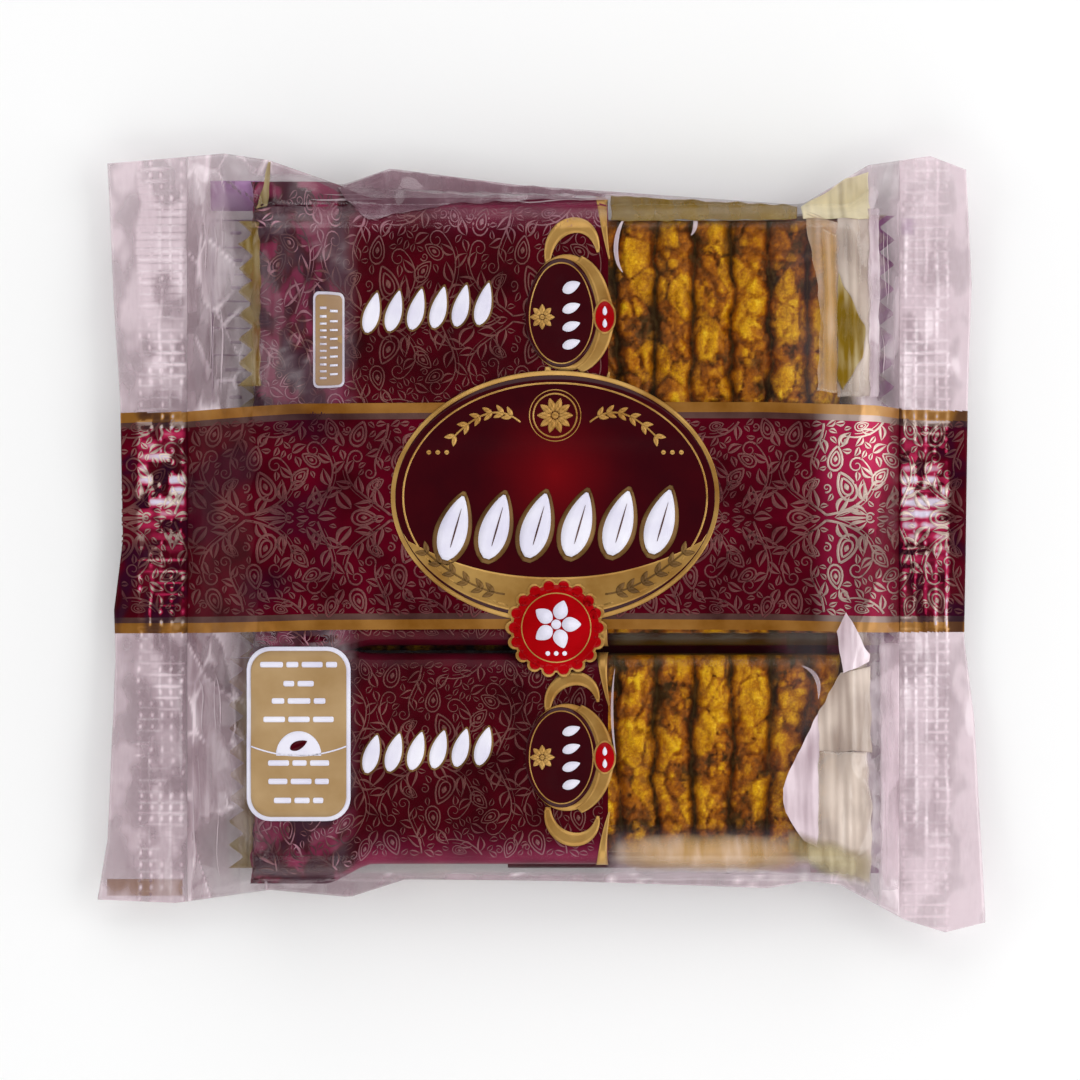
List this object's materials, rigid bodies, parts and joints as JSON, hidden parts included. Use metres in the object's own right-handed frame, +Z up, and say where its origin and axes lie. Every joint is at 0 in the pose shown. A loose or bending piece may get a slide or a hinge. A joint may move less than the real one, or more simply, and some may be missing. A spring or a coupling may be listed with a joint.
{
  "type": "nougat bar multipack",
  "caption": "Sealed clear film pack of wrapped nougat bars side by side in two layers, with a printed band round its middle and a crimped seal at each end.",
  "frame": {"origin": "under the middle of the pack, on the surface that it lies on", "axes": "+X along the bars, from the seal at their printed end to the seal at their clear end; +Y across the bars; +Z up, out of the pack's front"},
  "size_m": [0.1598, 0.1401, 0.0184],
  "materials": {
    "clear_film": "thin clear wrapping film, slightly hazy and glossy, creased",
    "printed_film": "film printed dark red with a tan damask, glossy",
    "gold_print": "gold and beige ink under glossy film",
    "white_print": "white ink under glossy film",
    "nougat": "amber nut brittle with pale nut pieces, ribbed, sticky sheen"
  },
  "bodies": {
    "root": {"bag": "clear_film"}
  },
  "joints": []
}
